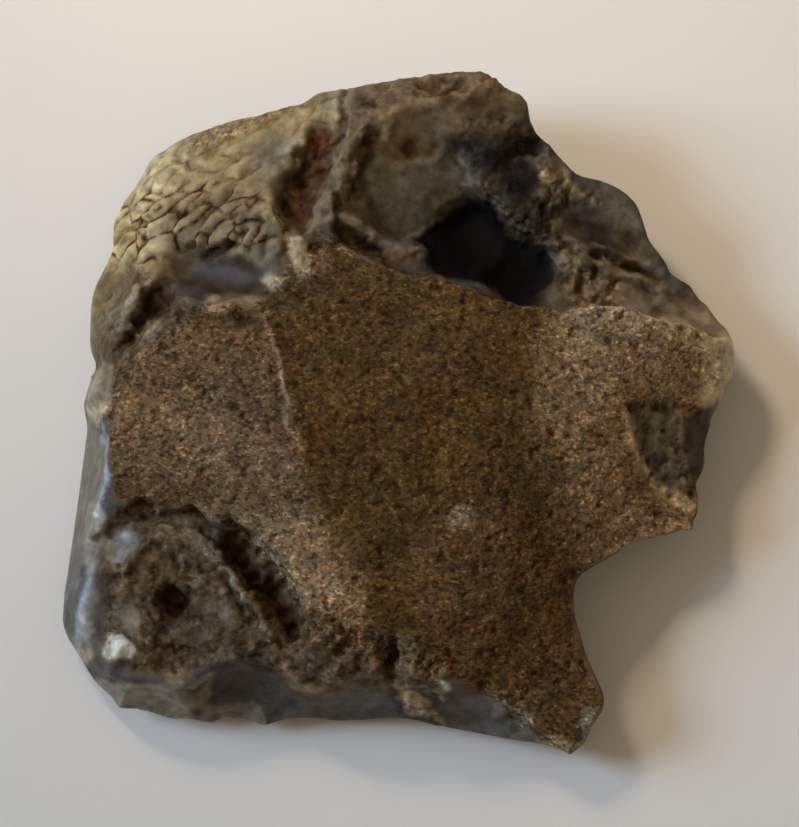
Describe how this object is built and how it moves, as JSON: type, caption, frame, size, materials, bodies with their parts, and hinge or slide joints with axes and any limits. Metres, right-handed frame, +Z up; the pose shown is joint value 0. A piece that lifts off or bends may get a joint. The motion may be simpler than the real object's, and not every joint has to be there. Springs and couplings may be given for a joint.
{
  "type": "flint flake",
  "caption": "Thick struck flint flake with sandy cortex on its upper face, a scalloped steep front, a notched right side and thin back edges. Lies on a small flat spot.",
  "frame": {"origin": "middle of the flat spot that the flake lies on, under its centre of mass", "axes": "+Z up with the cortex face uppermost, -Y towards the scalloped front, +X towards the notched right end"},
  "size_m": [0.0551, 0.0555, 0.0135],
  "materials": {
    "flint": "sandy matt cortex with smooth satin flint faces"
  },
  "bodies": {
    "root": {"flint_flake": "flint"}
  },
  "joints": []
}
